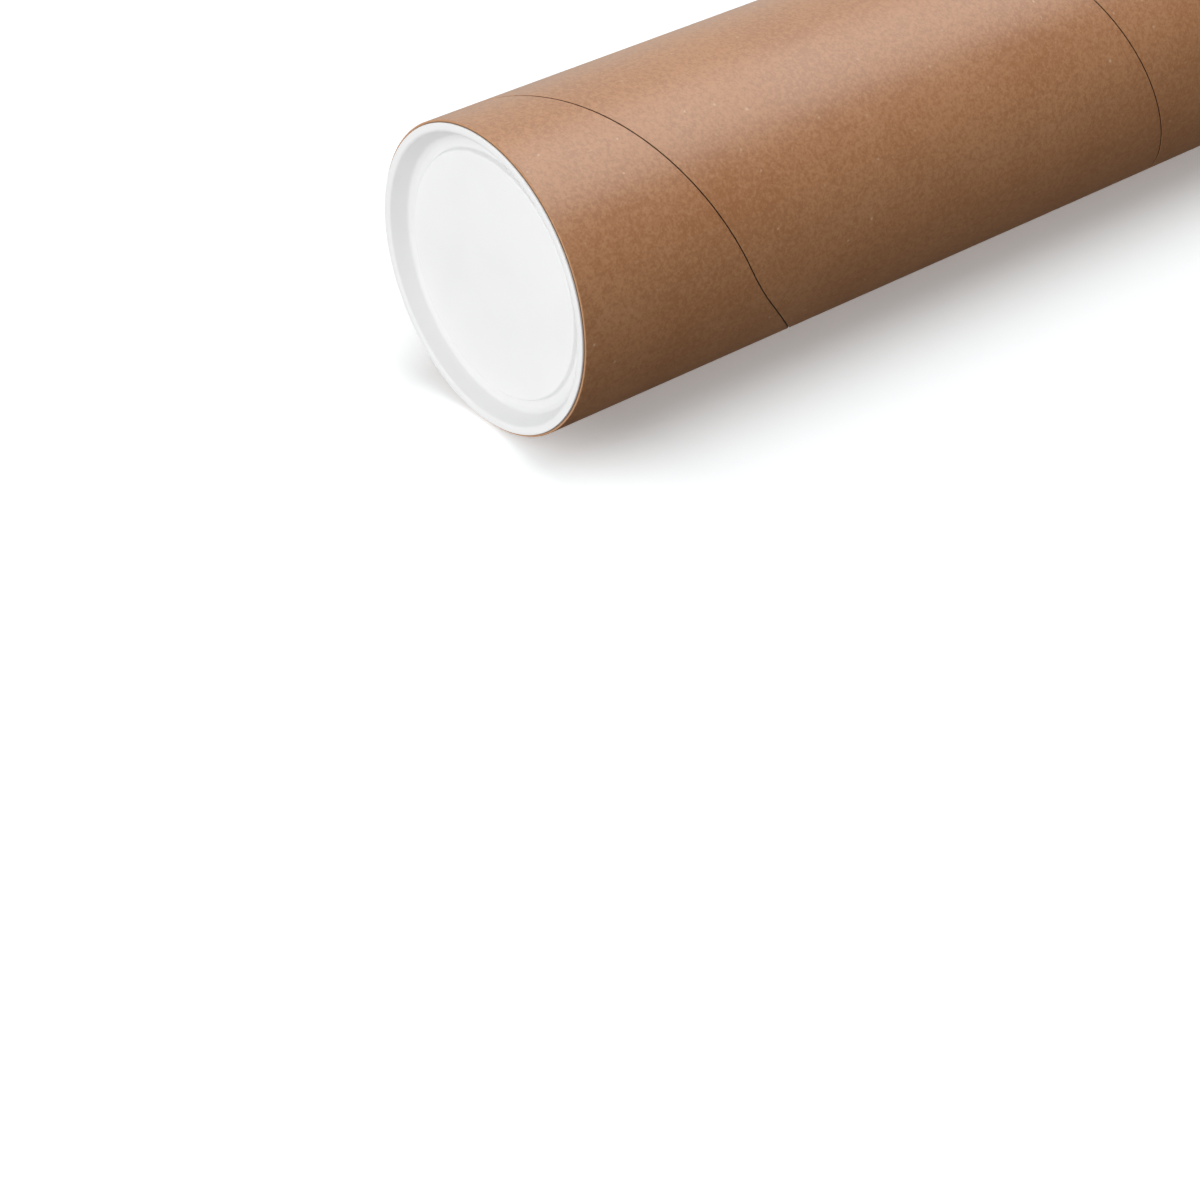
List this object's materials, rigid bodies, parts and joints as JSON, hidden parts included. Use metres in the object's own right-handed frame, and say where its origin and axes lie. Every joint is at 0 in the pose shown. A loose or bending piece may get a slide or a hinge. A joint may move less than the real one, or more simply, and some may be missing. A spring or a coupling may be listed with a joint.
{
  "type": "cardboard mailing tube",
  "caption": "Round spiral-wound kraft board mailing tube, closed at both ends by white plastic plug caps with a recessed face; each cap pulls out along the axis.",
  "frame": {"origin": "centre of the lower cap's lip, on the plane that the tube stands on", "axes": "+Z along the tube's axis, from the lower cap to the upper cap; X and Y are square to it"},
  "size_m": [0.0799, 0.08, 0.6113],
  "materials": {
    "kraft_board": "matte spiral-wound kraft paper with a slight sheen",
    "white_plastic": "satin moulded polyethylene"
  },
  "bodies": {
    "tube": {"tube": "kraft_board"},
    "upper_cap": {"upper_cap": "white_plastic"},
    "lower_cap": {"lower_cap": "white_plastic"}
  },
  "joints": [
    {"name": "upper_cap_pull", "type": "slide", "parent": "tube", "child": "upper_cap", "axis": [0, 0, 1], "range_m": [0, 0.04]},
    {"name": "lower_cap_pull", "type": "slide", "parent": "tube", "child": "lower_cap", "axis": [0, 0, -1], "range_m": [0, 0.04]}
  ]
}
